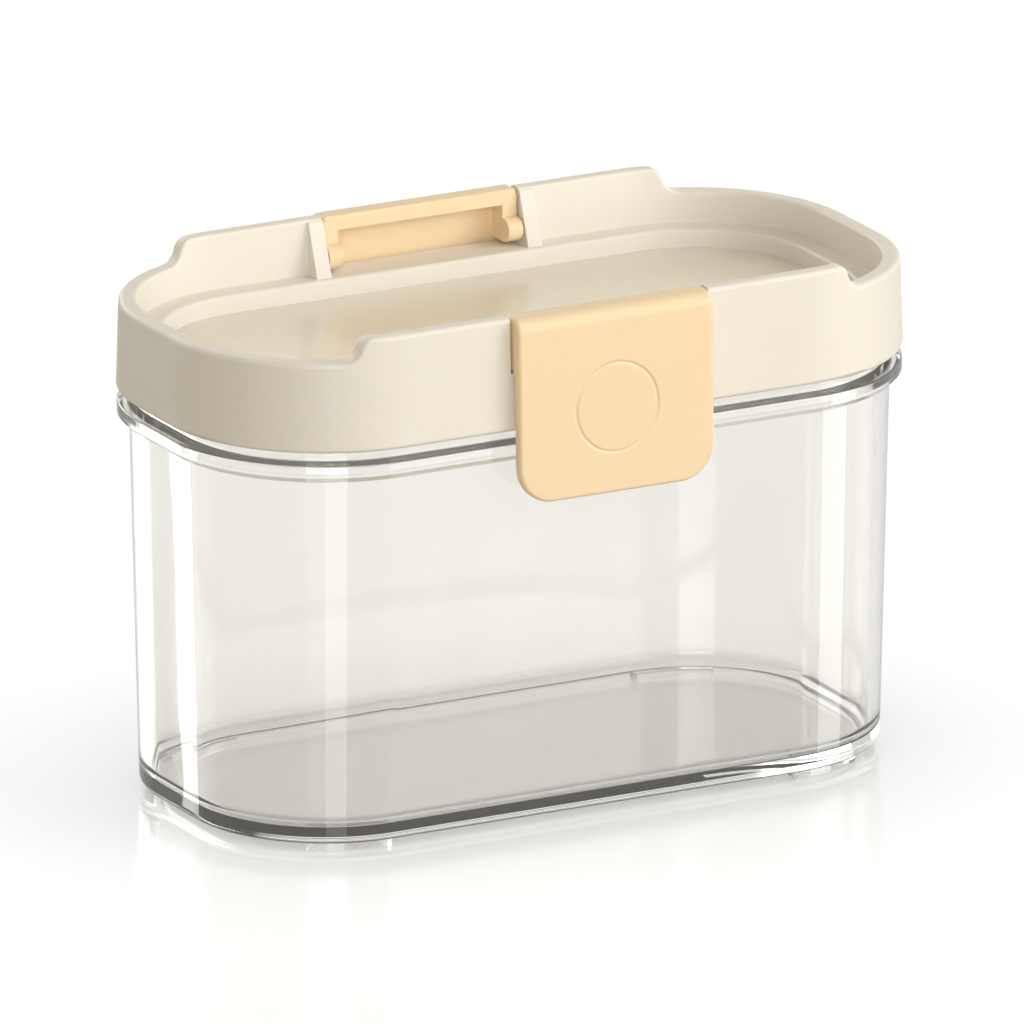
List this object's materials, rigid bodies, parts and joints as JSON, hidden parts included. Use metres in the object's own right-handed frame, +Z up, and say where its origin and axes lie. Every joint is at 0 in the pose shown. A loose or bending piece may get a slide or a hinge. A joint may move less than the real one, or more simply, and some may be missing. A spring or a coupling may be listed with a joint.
{
  "type": "food storage container",
  "caption": "Clear rounded food storage bin with a cream lid frame, translucent window, soft seal and hinged latches that hook under the bin's flange.",
  "frame": {"origin": "centre of the footprint, on the table under the feet", "axes": "+X along the long side, -Y towards the front latch, +Z up"},
  "size_m": [0.15, 0.085, 0.1005],
  "materials": {
    "clear_plastic": "polished clear moulding",
    "cream_plastic": "satin moulding",
    "frosted_plastic": "frosted clear moulding",
    "silicone": "soft matt",
    "peach_plastic": "satin moulding"
  },
  "bodies": {
    "bin": {"bin": "clear_plastic"},
    "lid": {"lid_frame": "cream_plastic", "lid_window": "frosted_plastic", "seal_ring": "silicone"},
    "front_latch": {"front_latch": "peach_plastic"},
    "rear_latch": {"rear_latch": "peach_plastic"}
  },
  "joints": [
    {"name": "lid_lift", "type": "slide", "parent": "bin", "child": "lid", "axis": [0, 0, 1], "range_m": [0, 0.03]},
    {"name": "front_latch_swing", "type": "hinge", "parent": "lid", "child": "front_latch", "pos_m": [0, -0.03535, 0.0928], "axis": [-1, 0, 0], "range_deg": [0, 100]},
    {"name": "rear_latch_swing", "type": "hinge", "parent": "lid", "child": "rear_latch", "pos_m": [0, 0.03535, 0.0928], "axis": [1, 0, 0], "range_deg": [0, 100]}
  ],
  "couplings": [
    {"joint": "front_latch_swing", "follows": "lid_lift", "rad_per_m": 58.1},
    {"joint": "rear_latch_swing", "follows": "lid_lift", "rad_per_m": 58.1}
  ]
}
